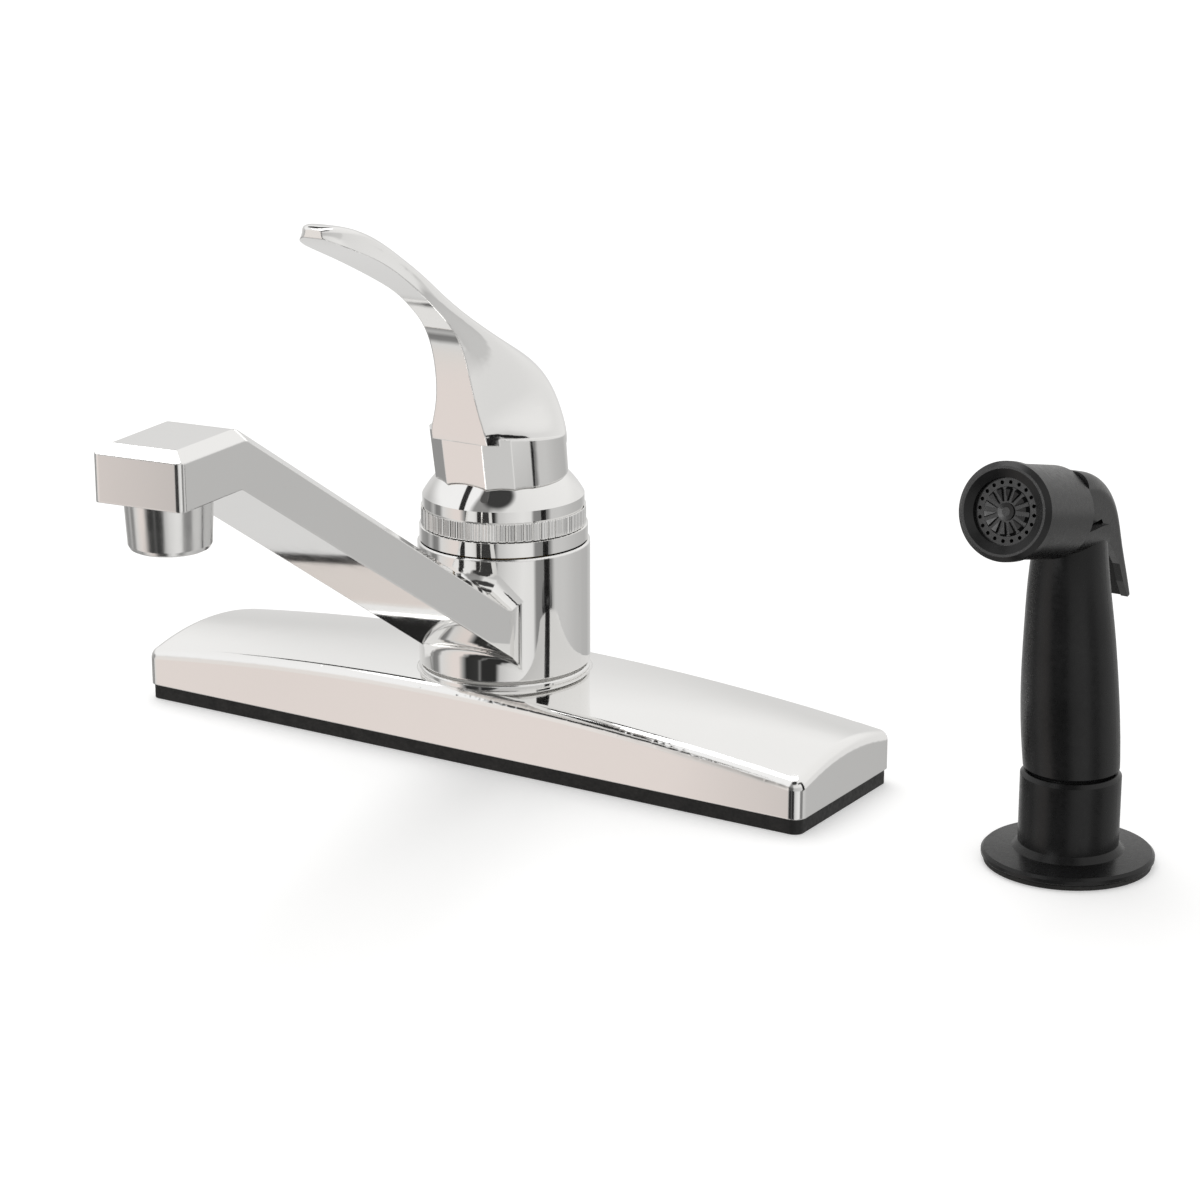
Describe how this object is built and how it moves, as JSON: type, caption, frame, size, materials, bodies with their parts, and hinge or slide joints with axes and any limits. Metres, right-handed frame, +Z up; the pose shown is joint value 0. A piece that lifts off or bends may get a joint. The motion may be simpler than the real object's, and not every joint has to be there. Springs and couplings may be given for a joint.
{
  "type": "side spray kitchen faucet",
  "caption": "Single-lever kitchen faucet with a swing spout on a long deck plate, and a hand sprayer with a trigger in its own deck guide.",
  "frame": {"origin": "the spout's swing axis on the top of the sink, at the centre of the deck plate's two stud holes", "axes": "+X along the deck plate towards the sprayer, -Y to the front where the spout points, +Z up"},
  "size_m": [0.3558, 0.2358, 0.1842],
  "materials": {
    "chrome": "polished chrome plate",
    "black_rubber": "matt",
    "brass": "machined",
    "white_plastic": "matt",
    "steel": "bright",
    "black_plastic": "satin"
  },
  "bodies": {
    "base": {"deck_plate": "chrome", "base_gasket": "black_rubber", "stud_anchor_left": "brass", "stud_anchor_right": "brass", "valve_body": "brass", "spout_seal_lower": "black_rubber", "spout_seal_upper": "black_rubber", "inlet_fitting_left": "brass", "inlet_fitting_right": "brass", "spray_outlet_fitting": "brass", "valve_seat_left": "black_rubber", "valve_seat_right": "black_rubber", "seat_spring_left": "steel", "seat_spring_right": "steel", "ball_packing": "black_rubber", "cam": "white_plastic", "trim_ring": "chrome", "glide_washer": "white_plastic", "bonnet_cap": "chrome", "adjusting_ring": "steel", "guide_washer": "black_rubber", "spray_guide": "black_plastic"},
    "diverter": {"diverter_valve": "white_plastic"},
    "spout": {"spout": "chrome", "aerator_housing": "chrome", "aerator_washer": "black_rubber", "flow_disc": "white_plastic", "aerator_screen": "steel"},
    "guide": {"guide_ring": "steel"},
    "lever": {"valve_ball": "steel", "handle": "chrome", "handle_set_screw": "steel"},
    "coupling": {"hose_coupling": "brass", "coupling_washer": "black_rubber", "snap_ring": "steel"},
    "wand": {"wand_body": "black_plastic", "face_ring": "black_plastic", "spray_nozzle": "black_plastic", "face_seal": "black_rubber", "trigger_pin": "steel", "plunger_seal": "black_rubber"},
    "trigger": {"trigger": "black_plastic"},
    "plunger": {"plunger": "steel", "plunger_spring": "steel"}
  },
  "joints": [
    {"name": "spout_swing", "type": "hinge", "parent": "base", "child": "spout", "pos_m": [0, 0, 0], "axis": [0, 0, 1], "range_deg": [-61, 49]},
    {"name": "diverter_slide", "type": "slide", "parent": "base", "child": "diverter", "axis": [0, 1, 0], "range_m": [0, 0.0015]},
    {"name": "temperature", "type": "hinge", "parent": "base", "child": "guide", "pos_m": [0, 0, 0], "axis": [0, 0, 1], "range_deg": [-40, 40]},
    {"name": "lever_lift", "type": "hinge", "parent": "guide", "child": "lever", "pos_m": [0, 0, 0.069], "axis": [-1, 0, 0], "range_deg": [0, 25]},
    {"name": "spray_lift", "type": "slide", "parent": "base", "child": "coupling", "axis": [0, 0, 1], "range_m": [0, 0.12]},
    {"name": "spray_swivel", "type": "hinge", "parent": "coupling", "child": "wand", "pos_m": [0.2032, -0.004, 0], "axis": [0, 0, 1], "continuous": true},
    {"name": "trigger_press", "type": "hinge", "parent": "wand", "child": "trigger", "pos_m": [0.2032, -0.016, 0.1145], "axis": [-1, 0, 0], "range_deg": [0, 7.05]},
    {"name": "plunger_push", "type": "slide", "parent": "wand", "child": "plunger", "axis": [0, -1, 0], "range_m": [0, 0.003], "stiffness_N_per_m": 100, "springref_m": -0.003, "deforming": ["plunger_spring"]}
  ],
  "couplings": [
    {"joint": "trigger_press", "follows": "plunger_push", "rad_per_m": 40.65}
  ]
}
